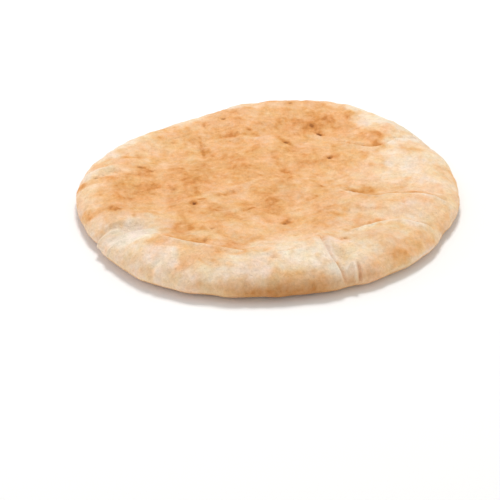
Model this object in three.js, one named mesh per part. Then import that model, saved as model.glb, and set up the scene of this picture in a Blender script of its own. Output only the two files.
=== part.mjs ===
import * as THREE from 'three';
import { mergeVertices } from 'three/addons/utils/BufferGeometryUtils.js';

// A pita bread: a soft flat loaf with a rolled rim round a sunken, toasted middle, creased where the rim
// folded as it cooled. Millimetres, +Z up, the front towards -y. The underside lies on z = 0.

// Driving dimensions
const middleHeight = 11.5;        // top of the sunken middle above the table
const noseShare = 0.33;           // height of the rim's widest line, as a share of the roll's height
const underInset = 15;            // from the widest line in to where the underside lifts off the table
const furrowFade = 0.3;           // share of a furrow's inner end that fades out

// The rim in equal steps from +x towards +y: radius to the widest line, height of the roll, how far in
// from the widest line its top lies, and how far its inner slope then runs down to the middle.
const rim = [
  { radius: 90.2, height: 12.5, inset: 15, fall: 22 },  // right
  { radius: 92, height: 13.5, inset: 15, fall: 24 },
  { radius: 93.3, height: 14.5, inset: 14, fall: 28 },
  { radius: 92.7, height: 15.5, inset: 13, fall: 30 },
  { radius: 88.7, height: 15.5, inset: 13, fall: 30 },  // back
  { radius: 82.3, height: 14.5, inset: 13, fall: 26 },
  { radius: 81.3, height: 14, inset: 13, fall: 22 },
  { radius: 87.2, height: 14, inset: 13, fall: 20 },
  { radius: 90.5, height: 14, inset: 13, fall: 18 },    // left
  { radius: 89.8, height: 13.5, inset: 14, fall: 18 },
  { radius: 92.2, height: 14, inset: 18, fall: 16 },
  { radius: 92.4, height: 14.5, inset: 22, fall: 16 },
  { radius: 87.7, height: 14.5, inset: 20, fall: 16 },  // front
  { radius: 87.6, height: 14, inset: 20, fall: 16 },
  { radius: 87.7, height: 12.5, inset: 17, fall: 20 },
  { radius: 87.8, height: 12, inset: 16, fall: 22 },
];

// Short dents in the widest line, where a fold runs out over the rim: direction and half width in degrees.
const dents = [
  { direction: 296, halfWidth: 3, depth: 2.4 },
  { direction: 338, halfWidth: 4, depth: 1.4 },
  { direction: 209, halfWidth: 3, depth: 2.2 },
  { direction: 254, halfWidth: 2, depth: 1.2 },
];

// Soft pleats round the rim: how many go round, how deep, and where the first one stands.
const pleats = [
  { count: 11, depth: 0.2, phase: 0.4 },
  { count: 17, depth: 0.15, phase: 2.1 },
  { count: 27, depth: 0.15, phase: 4.6 },
];

// Slow swells over the top: length from crest to crest, height, heading in degrees, and phase.
const swells = [
  { length: 61, height: 0.4, heading: 20, phase: 0.3 },
  { length: 43, height: 0.35, heading: 78, phase: 1.9 },
  { length: 31, height: 0.25, heading: 141, phase: 4.1 },
];

// Lips: the crust steps up by rise on the right of the line, over the width of step, and sinks back
// to the level of its surroundings over the distance spread. fade is the share of each end that dies out.
const lips = [
  {   // the front roll, from its turned-out end at the left rim to where it melts into the front
    line: [[-76, -68], [-66, -59], [-55, -52.5], [-43, -57.5], [-28, -63], [-12, -69], [4, -70], [20, -64]],
    rise: 3.2, step: 7, spread: 22, fade: [0.12, 0.3],
  },
  {   // the pinch at the front right
    line: [[22, -47], [24.3, -57], [25.5, -65], [28.5, -72], [32, -77], [35, -84]],
    rise: 4, step: 5, spread: 18, fade: [0.25, 0.05],
  },
  {   // the upper crease of the right-hand rim
    line: [[33, -3], [41, -10], [48, -14.5], [60, -12.5], [72, -12], [86, -14]],
    rise: 2.2, step: 5, spread: 16, fade: [0.3, 0.1],
  },
  {   // the lower crease of the right-hand rim
    line: [[34, -43], [44, -40], [54, -37], [64, -36.5], [73, -39], [82, -45]],
    rise: 2.3, step: 5, spread: 18, fade: [0.3, 0.1],
  },
  {   // the crease behind the pale swell at the back right
    line: [[28, 50], [39, 38], [52, 33], [64, 42], [78, 46]],
    rise: 1.6, step: 6, spread: 18, fade: [0.3, 0.3],
  },
];

// Furrows: soft grooves, each as deep as given along its line and fading out at its end.
const furrows = [
  { line: [[-86, -58], [-70, -47], [-54, -37]], depth: 1.6, halfWidth: 7 },     // left end of the front roll
  { line: [[-87, 0], [-78, 4], [-68, 8]], depth: 0.9, halfWidth: 4 },           // left rim
  { line: [[-86, 14], [-73, 21], [-56, 26]], depth: 0.8, halfWidth: 5 },
  { line: [[-36, 52], [-32, 36], [-28, 24]], depth: 0.6, halfWidth: 5 },        // back of the middle
  { line: [[-34, 38], [-24, 44], [-12, 50]], depth: 0.6, halfWidth: 5 },
  { line: [[-1, 35], [5, 18], [8, -4]], depth: 0.6, halfWidth: 6 },             // middle
  { line: [[37, -86], [33.5, -75], [31, -60]], depth: 1.5, halfWidth: 4.5 },    // beyond the pinch
  { line: [[-50, -86], [-48, -74]], depth: 0.8, halfWidth: 5 },                 // front roll
];

// How finely the crust is divided: faces across the top, rows of faces over the rim, how many of those rows
// lie before the roll begins, and how far out the rim's first row starts, as a share of the radius.
const facesAcross = 34;
const facesOverRim = 18;
const facesBeforeRoll = 5;
const topReach = 0.62;

const { abs, atan2, cos, exp, floor, hypot, max, PI, sin, sqrt } = Math;
const radians = THREE.MathUtils.degToRad;
const { lerp, smoothstep } = THREE.MathUtils;

// The rim between its stations, as a smooth curve through the nearest four.
function rimAt(angle) {
  const place = (angle / (2 * PI)) * rim.length;
  const first = floor(place);
  const t = place - first;
  const station = (step) => rim[(first + step + rim.length) % rim.length];
  const [a, b, c, d] = [station(-1), station(0), station(1), station(2)];
  const blend = {};
  for (const size of Object.keys(b)) {
    blend[size] = throughFour(a[size], b[size], c[size], d[size], t);
  }
  for (const dent of dents) {
    const away = abs(THREE.MathUtils.euclideanModulo(angle - radians(dent.direction) + PI, 2 * PI) - PI);
    blend.radius -= dent.depth * bell(away / radians(dent.halfWidth));
  }
  for (const pleat of pleats) {
    blend.radius += pleat.depth * sin(pleat.count * angle + pleat.phase);
  }
  return blend;
}

// A smooth curve through four even steps, from b at t = 0 to c at t = 1.
function throughFour(a, b, c, d, t) {
  const bend = 2 * a - 5 * b + 4 * c - d + (3 * (b - c) + d - a) * t;
  return b + 0.5 * t * (c - a + t * bend);
}

function bell(x) {
  return exp(-x * x);
}

// A line across the crust: how far along it a place lies, from 0 to 1, and how far off, above 0 on its right.
function trace(points) {
  const spots = new THREE.SplineCurve(points.map(([x, y]) => new THREE.Vector2(x, y))).getSpacedPoints(24);
  return (x, y) => {
    let nearest = { off: Infinity };
    for (let i = 1; i < spots.length; i++) {
      const [start, end] = [spots[i - 1], spots[i]];
      const run = end.clone().sub(start);
      const reach = new THREE.Vector2(x, y).sub(start);
      const along = THREE.MathUtils.clamp(reach.dot(run) / run.lengthSq(), 0, 1);
      const off = reach.clone().addScaledVector(run, -along).length();
      if (off < abs(nearest.off)) {
        const side = reach.cross(run) > 0 ? 1 : -1;
        nearest = { off: side * off, along: (i - 1 + along) / (spots.length - 1) };
      }
    }
    return nearest;
  };
}

const lipShapes = lips.map((lip) => ({ ...lip, locate: trace(lip.line) }));
const furrowShapes = furrows.map((furrow) => ({ ...furrow, locate: trace(furrow.line) }));

// Height of the open crust at a place, before the rim closes down to its widest line.
function crustHeight(x, y, angle, station) {
  const inward = station.radius - hypot(x, y) - station.inset;
  const onRim = 1 - smoothstep(inward, 0, station.fall);
  let height = lerp(middleHeight, station.height, onRim);
  for (const lip of lipShapes) {
    const { off, along } = lip.locate(x, y);
    const strength = smoothstep(along, 0, lip.fade[0]) * smoothstep(1 - along, 0, lip.fade[1]);
    const step = smoothstep(off, -lip.step / 2, lip.step / 2);
    height += lip.rise * strength * step * bell(max(off, 0) / lip.spread);
  }
  for (const furrow of furrowShapes) {
    const { off, along } = furrow.locate(x, y);
    height -= furrow.depth * smoothstep(1 - along, 0, furrowFade) * bell(off / furrow.halfWidth);
  }
  for (const swell of swells) {
    const distance = x * cos(radians(swell.heading)) + y * sin(radians(swell.heading));
    height += swell.height * sin((2 * PI * distance) / swell.length + swell.phase);
  }
  for (const pleat of pleats) {
    height += pleat.depth * sin(pleat.count * angle + pleat.phase) * onRim;
  }
  return height;
}

// The crust on one ray from the middle. way is 0 at the middle of the top, 1 and 2 at the two edges of the
// rim's band, and 3 at the middle of the underside.
function crustPoint(angle, way) {
  const station = rimAt(angle);
  const nose = noseShare * station.height;
  const flatShare = facesBeforeRoll / facesOverRim;
  const rollStart = station.radius - station.inset;
  let radius;
  let closing = 1;
  if (way <= 1) {
    radius = topReach * station.radius * way;
  } else if (way < 1 + flatShare) {
    radius = lerp(topReach * station.radius, rollStart, (way - 1) / flatShare);
  } else if (way < 2) {
    const turn = (PI * (way - 1 - flatShare)) / (1 - flatShare);
    const inset = turn < PI / 2 ? station.inset : underInset;
    radius = station.radius - inset * (1 - sin(turn));
    closing = cos(turn);
  } else {
    radius = (station.radius - underInset) * (3 - way);
    closing = -1;
  }
  const x = radius * cos(angle);
  const y = radius * sin(angle);
  const open = closing > 0 ? crustHeight(x, y, angle, station) - nose : nose;
  return new THREE.Vector3(x, y, nose + open * closing);
}

// A box divided into faces, blown up into the loaf: its top and underside become discs and its sides the rim.
function pitaGeometry() {
  const box = new THREE.BoxGeometry(2, 2, 2, facesAcross, facesAcross, facesOverRim);
  box.deleteAttribute('normal');
  box.deleteAttribute('uv');
  const geometry = mergeVertices(box, 1e-4);
  const spots = geometry.attributes.position;
  for (let i = 0; i < spots.count; i++) {
    const [x, y, z] = [spots.getX(i), spots.getY(i), spots.getZ(i)];
    const discX = x * sqrt(1 - (y * y) / 2);
    const discY = y * sqrt(1 - (x * x) / 2);
    const onSide = Math.max(abs(x), abs(y)) > 1 - 1e-6;
    const out = hypot(discX, discY);
    const onTop = z > 0;
    const way = onSide ? 1 + (1 - z) / 2 : (onTop ? out : 3 - out);
    const point = crustPoint(THREE.MathUtils.euclideanModulo(atan2(discY, discX), 2 * PI), way);
    spots.setXYZ(i, point.x, point.y, point.z);
  }
  geometry.computeVertexNormals();
  return geometry;
}

const crust = new THREE.MeshStandardMaterial({ color: '#e3b27c', roughness: 0.85, metalness: 0 });

const pita = new THREE.Mesh(pitaGeometry(), crust);
pita.name = 'pita_bread';

// The origin stands under the middle of the loaf's box, on the table.
const reach = new THREE.Box3().setFromObject(pita);
pita.position.set(-(reach.min.x + reach.max.x) / 2, -(reach.min.y + reach.max.y) / 2, 0);

const part = new THREE.Group();
part.add(pita);

export default part;
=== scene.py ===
import math
import random

import bmesh
import bpy
import numpy as np
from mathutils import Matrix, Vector, kdtree, noise


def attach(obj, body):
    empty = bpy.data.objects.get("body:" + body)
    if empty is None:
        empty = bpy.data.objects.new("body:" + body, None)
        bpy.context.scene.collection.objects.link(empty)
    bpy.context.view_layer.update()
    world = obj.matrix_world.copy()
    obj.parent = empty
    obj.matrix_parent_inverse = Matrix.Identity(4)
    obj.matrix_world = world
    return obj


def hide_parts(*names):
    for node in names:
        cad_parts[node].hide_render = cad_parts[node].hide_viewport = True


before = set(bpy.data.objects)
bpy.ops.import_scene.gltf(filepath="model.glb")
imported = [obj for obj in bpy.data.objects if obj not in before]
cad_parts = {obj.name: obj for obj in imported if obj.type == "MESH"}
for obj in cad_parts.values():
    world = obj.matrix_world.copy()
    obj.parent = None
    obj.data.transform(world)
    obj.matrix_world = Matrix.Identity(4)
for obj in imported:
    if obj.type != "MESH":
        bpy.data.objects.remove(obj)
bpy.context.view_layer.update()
print("frame loaded")

mm = 0.001  # one millimetre in Blender's metres

cameraSet = {
    "lookAt": (-0.04, -0.56, 7.0),  # mm, the middle of the bread at half its thickness
    "distance": 900.0,  # mm
    "elevation": 29.0,  # degrees above the table
    "breadWidth": 180.0,  # mm, and how many of the frame's pixels it spans
    "breadPixels": 382.0,
    "lookAtPixel": (267.9, 192.0),  # where lookAt falls in the frame, from the top left
    "frameSize": 500,
    "sensor": 36.0,
    "nearest": 0.01,  # m
}


def makeCamera():
    c = cameraSet
    pixels = c["breadPixels"] / c["breadWidth"] * c["distance"]  # focal length in pixels
    data = bpy.data.cameras.new("camera")
    data.sensor_width = c["sensor"]
    data.lens = c["sensor"] * pixels / c["frameSize"]
    data.clip_start = c["nearest"]
    camera = bpy.data.objects.new("camera", data)
    bpy.context.collection.objects.link(camera)
    rise = math.radians(c["elevation"])
    back = Vector((0, -math.cos(rise), math.sin(rise)))
    right = Vector((1, 0, 0))
    up = back.cross(right)
    aimX = c["frameSize"] / 2 - c["lookAtPixel"][0]
    aimY = c["frameSize"] / 2 - c["lookAtPixel"][1]
    forward = -back * pixels + right * aimX - up * aimY
    camera.location = (Vector(c["lookAt"]) + back * c["distance"]) * mm
    camera.rotation_mode = "QUATERNION"
    camera.rotation_quaternion = forward.to_track_quat("-Z", "Y")
    bpy.context.scene.camera = camera


lightSet = {
    "skyColour": (1.0, 0.99, 0.97),
    "skyStrength": 0.5,
    "aim": (0, 0, 0),
    "lamps": [  # place in mm, size in mm, power in watts
        {"name": "keyLight", "at": (0, 520, 1100), "size": 350, "power": 8.3, "colour": (1, 1, 1)},
        {"name": "frontLight", "at": (-150, -1000, 450), "size": 800, "power": 2.1, "colour": (1, 1, 1)},
        {"name": "leftLight", "at": (-1100, 0, 350), "size": 600, "power": 2.8, "colour": (1, 0.97, 1.08)},
        {"name": "rightLight", "at": (1100, 0, 350), "size": 600, "power": 2.3, "colour": (1, 1, 0.86)},
    ],
}


def makeLights():
    world = bpy.data.worlds.new("sky")
    world.use_nodes = True
    sky = world.node_tree.nodes["Background"]
    sky.inputs["Color"].default_value = (*lightSet["skyColour"], 1)
    sky.inputs["Strength"].default_value = lightSet["skyStrength"]
    bpy.context.scene.world = world
    for lamp in lightSet["lamps"]:
        data = bpy.data.lights.new(lamp["name"], "AREA")
        data.size = lamp["size"] * mm
        data.energy = lamp["power"]
        data.color = lamp["colour"]
        light = bpy.data.objects.new(lamp["name"], data)
        bpy.context.collection.objects.link(light)
        light.location = Vector(lamp["at"]) * mm
        aim = Vector(lightSet["aim"]) * mm - light.location
        light.rotation_euler = aim.to_track_quat("-Z", "Y").to_euler()


floorSet = {
    "width": 6.0,  # m
    "colour": (0.93, 0.93, 0.93),
    "roughness": 0.9,
    "specular": 0.0,
}


def makeFloor():
    bm = bmesh.new()
    bmesh.ops.create_grid(bm, x_segments=1, y_segments=1, size=floorSet["width"] / 2)
    mesh = bpy.data.meshes.new("floor")
    bm.to_mesh(mesh)
    bm.free()
    floor = bpy.data.objects.new("floor", mesh)
    bpy.context.collection.objects.link(floor)
    material = bpy.data.materials.new("paleFloor")
    material.use_nodes = True
    shader = material.node_tree.nodes["Principled BSDF"]
    shader.inputs["Base Color"].default_value = (*floorSet["colour"], 1)
    shader.inputs["Roughness"].default_value = floorSet["roughness"]
    shader.inputs["Specular IOR Level"].default_value = floorSet["specular"]
    mesh.materials.append(material)


bpy.context.scene.view_settings.view_transform = "Standard"
makeCamera()
makeLights()
makeFloor()
print("camera, lights and floor made")


# The bread. Places are x and y in mm, from the origin of the CAD outline.
pita = {
    "node": "pita_bread",
    "outlineOrigin": (-0.04, -0.56),
    "weld": 0.01,  # mm, points closer than this are one
    "softenLevels": 1,
    "fineSlope": -0.2,  # faces that look further up than this are cut finer
    "fineEdge": 0.9,  # mm, their edges are halved until they are no longer than this
    "finePasses": 3,
    "foldEdge": 0.5,  # mm, the same near the tight folds
    "foldSpots": [(36, -72, 17), (-66, -52, 18)],  # x, y and radius, from the bread's middle
    "lipSide": 2.6,  # mm either way of a lip's line that are cut as fine, and eased afterwards
    "smoothing": 0.5,  # how far each pass moves a point towards its neighbours
    "evenPasses": 4,  # once the faces are cut
    "easePasses": 2,  # beside the lips, once they are shaped
    # how far up the crust faces, 1 being straight up, where each of these starts and is full
    "facing": {"top": (-0.3, 0.1), "lifted": (0.0, 0.5)},
    "resting": (0.7, 0.95),  # the same for how far down it faces
    "underRough": 0.5,  # share of the unevenness that the underside keeps
}

# Lips, where the crust stands higher on the right of a line. The step is rise mm high and wide mm
# across, and is drawn in to narrow. The change dies out over spread, and over the shares of the line
# in fade at its ends. The crest swells by welt, a trough runs at its foot, and the crust behind sinks
# by hollow. seamShade is the toast gained behind the crest, partly toast and partly painted shade where
# the fold shades the crust: it fades between the two distances of reach, and lies over the share span of
# the line. before is the toast that the crest gains; below 0 it is a painted highlight on the crest.
pita["lips"] = [
    {   # front roll
        "line": [(-60, -49), (-54, -53), (-46, -58.5), (-39, -61.8), (-32, -64.2), (-24, -66),
                 (-15, -68.5), (-6, -71), (5, -70.5), (14, -67.5), (24, -64)],
        "rise": 3.2, "wide": 8, "narrow": 1.7, "spread": 22, "fade": (0.2, 0.3),
        "welt": 0.2, "trough": 0.6, "hollow": 0.6, "seamShade": 0.24, "reach": (5, 9.5), "span": (0.1, 0.6),
        "before": -0.3,
    },
    {   # crest at the left end of the front roll
        "line": [(-70, -49.8), (-65, -48), (-60, -46.5), (-54, -45), (-46, -43)],
        "rise": 0, "wide": 5, "narrow": 1.6, "spread": 10, "fade": (0.3, 0.35),
        "welt": 0.7, "trough": 0.5, "hollow": 0.6, "seamShade": 0.0, "reach": (2, 4), "span": (0, 1),
        "before": -0.15,
    },
    {   # right-hand end of the front roll, eased
        "line": [(21, -44), (24.3, -57), (25.5, -65), (27.5, -70)],
        "rise": 3.5, "wide": 7, "narrow": 13, "spread": 18, "fade": (0.3, 0.3),
        "welt": 0, "trough": 0, "hollow": 0, "seamShade": 0, "reach": (1, 2), "span": (0, 1),
        "before": 0,
    },
    {   # pinch at the front right
        "line": [(24, -57), (25.5, -65), (28.5, -72), (32, -77), (35, -84)],
        "rise": 2.5, "wide": 7, "narrow": 2.4, "spread": 18, "fade": (0.5, 0.05),
        "welt": 0.3, "trough": 0.4, "hollow": 0.4, "seamShade": 0.0, "reach": (1, 2), "span": (0, 1),
        "before": -0.05,
    },
    {   # upper crease of the right-hand rim
        "line": [(33, -2.5), (37, -5.6), (42, -10.4), (46, -13), (52, -13), (59, -11.4),
                 (66, -11), (73, -12.8), (80, -15), (89, -14)],
        "rise": 2.2, "wide": 7, "narrow": 1.4, "spread": 16, "fade": (0.12, 0.25),
        "welt": 0.35, "trough": 0.9, "hollow": 0.1, "seamShade": 0.36, "reach": (3.2, 5.2), "span": (0, 0.92),
        "before": -0.24,
    },
    {   # lower crease of the right-hand rim
        "line": [(33, -44.5), (39.5, -42.6), (44.5, -39), (50, -36.8), (56, -35.8), (62, -37),
                 (68, -38), (73, -36.8), (77.5, -38.5)],
        "rise": 2.3, "wide": 7, "narrow": 1.6, "spread": 18, "fade": (0.2, 0.15),
        "welt": 0.5, "trough": 0.8, "hollow": 0.5, "seamShade": 0.2, "reach": (3, 6), "span": (0.05, 0.5),
        "before": -0.34,
    },
    {   # behind the pale swell at the back right
        "line": [(28, 50), (39, 38), (52, 33), (64, 42), (78, 46)],
        "rise": 1.6, "wide": 8, "narrow": 2.2, "spread": 18, "fade": (0.3, 0.3),
        "welt": 0.3, "trough": 0.6, "hollow": 0.4, "seamShade": 0.15, "reach": (2.5, 5), "span": (0, 1),
        "before": -0.1,
    },
]
# How far each of these reaches in mm, and blend is half the width over which seamShade and before meet.
pita["lipReach"] = {"welt": 1.6, "trough": 1.0, "hollow": 8, "before": 1.7, "blend": 0.4}
pita["lipSpreads"] = 2  # a lip is felt as far as this many times its spread
pita["seamShade"] = {
    "burn": 0.3,  # share of it that is also darkened with the burnt colour, as painted shade
    "ends": 0.1,  # share of the line's length either way over which it comes and goes
}

# How much of a crease's length dies out at an end, and to how many half widths it is felt.
pita["creaseLook"] = {"fade": 0.22, "reach": 3}
# Creases: x and y along each, how deep, half width and how much toast its floor gains; a toast above 0
# is partly painted shade in the crease, and below 0 a painted highlight. One with a depth below 0 is a
# ridge.
pita["creases"] = [
    # the foot of the pinch, its tucked ridge and the short pleats between
    {"line": [(23.4, -50), (24, -56), (24.7, -61), (25.7, -64.5), (27.7, -68.5), (30.2, -72.2),
              (32.2, -75), (33.6, -78), (34.6, -82)], "sink": (1.3, 0.65, -0.05)},
    {"line": [(33.5, -76), (35, -73), (36.6, -71), (38.2, -71.6)], "sink": (-0.7, 0.7, -0.1)},
    {"line": [(36.6, -69.5), (38, -72.5), (38.3, -75.5), (38, -78), (37, -84)],
     "sink": (-1.4, 1.1, -0.15)},
    {"line": [(38.8, -69.5), (40, -73), (40.4, -76), (39.8, -82)], "sink": (1.5, 0.7, 0.0)},
    {"line": [(38.8, -76), (42, -75), (46, -73.3), (50, -71.5)], "sink": (0.5, 0.7, 0.12)},
    {"line": [(35, -75), (35.7, -78), (36, -82)], "sink": (0.5, 0.5, 0.0)},
    {"line": [(36.5, -75), (36.8, -78), (36.9, -82)], "sink": (0.45, 0.45, 0.0)},
    # left end of the front roll
    {"line": [(-80, -54), (-76.5, -49), (-74, -46), (-71.3, -43), (-67, -40.4)],
     "sink": (-1.1, 1.0, -0.12)},
    {"line": [(-78, -58), (-73.5, -52), (-69, -49.6), (-63, -49)], "sink": (0.9, 1.5, 0.0)},
    {"line": [(-74, -62), (-71.8, -57), (-69.5, -55), (-66, -54.2), (-60, -55.4)],
     "sink": (-1.0, 1.1, -0.12)},
    {"line": [(-70, -63), (-68.5, -58.5), (-65, -57.5), (-60, -58)], "sink": (0.25, 1.4, 0.0)},
    {"line": [(-84, -48), (-77, -44.5), (-72, -41.5), (-66, -40.5)], "sink": (0.8, 1.3, 0.0)},
    {"line": [(-52, -84), (-51, -77), (-49.5, -74.5), (-46, -72.5)], "sink": (0.65, 1.1, 0.0)},
    {"line": [(-49.5, -84), (-48.6, -77), (-47, -75)], "sink": (-0.35, 1.2, -0.1)},
    {"line": [(-31, -74.5), (-29.7, -75.4), (-27.7, -77), (-25, -79)], "sink": (0.25, 0.45, 0.2)},
    # edge of the lobe at the front right
    {"line": [(76, -37), (78, -41), (75.5, -45.5), (72.5, -48.5), (67, -55), (60, -61)],
     "sink": (-0.5, 1.1, -0.2)},
    # left rim
    {"line": [(-84, 2), (-81.5, 3.4), (-77, 5.8), (-72, 7.8), (-66, 7.0)], "sink": (0.7, 0.8, 0.14)},
    {"line": [(-88, 8), (-82, 12), (-74, 14.5), (-66, 15.5)], "sink": (0.5, 1.3, 0.12)},
    {"line": [(-90, 5), (-83, 8.5), (-76, 10.5), (-70, 12)], "sink": (-0.7, 1.6, -0.15)},
    {"line": [(-82, 17), (-72, 20), (-60, 24.5), (-52, 27)], "sink": (0.45, 1.1, 0.12)},
    {"line": [(-89, -2), (-82, -1.5), (-76, -2)], "sink": (0.4, 1.4, 0.15)},
    {"line": [(-90, -14), (-82, -12), (-75, -10)], "sink": (0.35, 1.5, 0.05)},
    {"line": [(-88, -24), (-80, -21), (-72, -18)], "sink": (0.4, 1.6, 0.1)},
    {"line": [(-61.5, 13), (-58.5, 12.2), (-55.3, 10)], "sink": (0.4, 0.6, 0.15)},
    # back of the middle
    {"line": [(-34.4, 49), (-33.3, 43), (-32, 35), (-30.5, 25)], "sink": (0.6, 0.7, 0.25)},
    {"line": [(-32, 41.5), (-24, 43.5), (-14, 44.5), (-6, 45), (2, 47.5)], "sink": (-0.5, 1.6, -0.14)},
    {"line": [(13, 48), (24, 49), (34, 46), (44, 39.5), (56, 30)], "sink": (-0.45, 1.5, -0.12)},
    {"line": [(-26, 45.5), (-20, 47.5), (-14, 49), (-7, 49.5)], "sink": (0.5, 0.9, 0.12)},
    {"line": [(3, 50.5), (5.5, 46.5), (8.5, 42)], "sink": (0.5, 0.8, 0.1)},
    {"line": [(9.5, 40), (11.5, 36), (13, 30)], "sink": (0.35, 1.2, 0.08)},
    {"line": [(0.5, 35), (3.5, 25), (7.5, 14), (11, 8)], "sink": (0.5, 1.4, 0.14)},
    {"line": [(-34, -13.5), (-25, -9.5), (-15.5, -4), (-3, 5)], "sink": (-0.5, 1.7, -0.14)},
    {"line": [(-26, -31), (-15.5, -25), (-3, -18.5)], "sink": (-0.4, 1.5, -0.1)},
    {"line": [(58, 42), (66, 43), (75, 44)], "sink": (0.6, 1.6, 0.0)},
    # middle and right
    {"line": [(-12.5, -25), (-8.5, -22), (-4.5, -18.8)], "sink": (0.6, 0.7, 0.35)},
    {"line": [(-22, -10.5), (-17, -8.5), (-13, -8)], "sink": (0.5, 0.7, 0.25)},
    {"line": [(-33, -17), (-31, -15.8), (-28, -15)], "sink": (0.4, 0.7, 0.35)},
    {"line": [(9.5, -17), (13, -14.5), (17, -12.5)], "sink": (0.5, 0.9, 0.2)},
    {"line": [(-21, -30.5), (-17, -29.7), (-11, -29.6)], "sink": (0.4, 0.7, 0.15)},
    {"line": [(42, -27), (48, -24.5), (55, -25)], "sink": (0.3, 1.2, 0.08)},
    {"line": [(40, -3), (49, -4.5), (58, -4), (68, -4), (80, -7), (88, -9)], "sink": (0.5, 3.5, 0.12)},
    {"line": [(50, -29), (57, -28.5), (64, -29.5), (70, -30), (77, -32)], "sink": (0.6, 3.0, -0.05)},
    {"line": [(61.5, -15), (62.5, -20), (63.5, -26)], "sink": (0.4, 0.7, 0.2)},
    {"line": [(52, 4.5), (60, 5.5), (68, 4.5)], "sink": (0.3, 1.0, 0.2)},
    {"line": [(52, 20), (62, 15), (74, 12)], "sink": (0.35, 1.6, 0.0)},
]

pita["pitLook"] = {
    "ragged": 0.5,  # how far the unevenness pulls a pit's edge
    "burn": (0.5, 1.1),  # where its burnt floor starts to fade and ends, in half widths
    "burnPower": 1.5,  # above 1 the slightly burnt ones are paler
    "ring": 1.6,  # half widths of the toasted ring, and how much toast it gains
    "ringToast": 0.7,
}
# Pits where bubbles burst: x, y, half length, half width, turn, depth, and how burnt.
pita["pits"] = [
    (8.3, 41.0, 1.4, 1.1, 140, 1.2, 1.0),
    (24.8, 51.5, 2.0, 1.0, 150, 1.0, 0.9),
    (21.4, 58.2, 2.0, 1.0, 130, 0.8, 0.7),
    (27.6, 63.2, 1.6, 1.1, 20, 0.5, 0.35),
    (29.4, 26.0, 1.2, 1.0, 0, 1.1, 0.85),
    (-34.0, -20.0, 1.2, 1.1, 0, 1.1, 1.0),
    (-31.3, -15.8, 1.3, 0.7, 30, 0.4, 0.35),
    (7.6, -36.0, 1.3, 1.0, 0, 0.9, 0.75),
    (8.9, -33.2, 1.7, 1.1, 100, 0.6, 0.45),
    (-27.8, -54.5, 2.4, 1.1, 80, 0.5, 0.45),
    (-25.0, -44.0, 1.1, 0.9, 0, 0.5, 0.4),
    (34.3, -54.0, 1.6, 1.1, 90, 0.8, 0.55),
    (45.2, -46.3, 1.0, 0.8, 0, 0.4, 0.25),
    (2.6, -74.6, 1.7, 0.9, 0, 0.4, 0.3),
    (21.0, -41.0, 1.0, 0.9, 0, 0.4, 0.3),
    (-22.5, 62.0, 1.2, 1.0, 120, 0.6, 0.55),
    (-32.0, 56.0, 1.6, 0.8, 110, 0.4, 0.4),
    (-17.5, 68.0, 1.0, 0.8, 0, 0.3, 0.3),
    (-9.5, 52.5, 1.1, 0.8, 0, 0.5, 0.5),
    (-7.5, 49.0, 0.9, 0.7, 0, 0.4, 0.4),
    (10.8, 78.0, 1.3, 1.1, 0, 0.6, 0.55),
    (18.5, 81.0, 1.2, 1.0, 0, 0.6, 0.5),
    (38.5, 70.5, 0.9, 0.8, 0, 0.4, 0.3),
    (31.8, 36.0, 1.0, 0.8, 0, 0.4, 0.3),
    (-61.0, 13.0, 1.3, 0.9, 0, 0.5, 0.55),
    (-55.5, 10.3, 1.1, 0.9, 0, 0.5, 0.55),
    (-61.0, 6.6, 0.8, 0.7, 0, 0.3, 0.25),
    (-72.0, -25.8, 1.4, 1.0, 90, 0.5, 0.45),
    (-69.7, -29.0, 1.3, 0.9, 90, 0.5, 0.45),
    (-68.0, -26.8, 1.0, 0.9, 0, 0.4, 0.35),
    (-44.0, -6.0, 1.0, 0.8, 0, 0.4, 0.35),
    (-26.6, 28.0, 0.9, 0.8, 0, 0.3, 0.25),
    (-78.0, -13.5, 0.9, 0.8, 0, 0.3, 0.25),
    (-81.5, 4.0, 1.3, 0.9, 20, 0.5, 0.5),
    (-23.0, -10.5, 0.9, 0.7, 0, 0.3, 0.3),
    (62.0, -20.0, 0.9, 0.7, 0, 0.3, 0.2),
    (73.0, -25.5, 0.8, 0.7, 0, 0.3, 0.2),
    (39.0, 83.0, 0.9, 0.7, 0, 0.3, 0.3),
]

pita["swellPower"] = 1.5  # the higher, the softer the foot of a swell
# Low swells that steam raised, or hollows: x, y, half length, half width, turn, height.
pita["swells"] = [
    (50, 45, 8, 6, -50, 0.9),
    (22, 60, 9, 5, 10, 0.5),
    (4, -14, 8, 6, 60, 0.4),
    (-70, -25, 6, 5, 20, 0.5),
    (-38, 8, 9, 6, -40, 0.4),
    (14, 22, 8, 5, 30, 0.4),
    (26, -22, 7, 5, 70, 0.4),
    (-15, 20, 9, 6, 0, 0.4),
    (-30, -38, 8, 6, 40, 0.4),
    (-20, 60, 10, 6, 20, 0.5),
    (-55, -8, 9, 6, 10, 0.4),
    (55, -56, 12, 7, 35, 0.7),
    (-63, -42, 15, 5.5, 12, -2.8),
    (-68, -31, 11, 6, 10, 0.9),
    (31, -66, 6, 3, -65, -0.8),
    (46, -7, 7, 4, -15, -0.8),
    (60, -31, 14, 4, 0, -0.5),
    (64, 43, 8, 3, 10, -0.5),
    (-41, -61, 16, 8, -30, -0.22),
]

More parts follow.
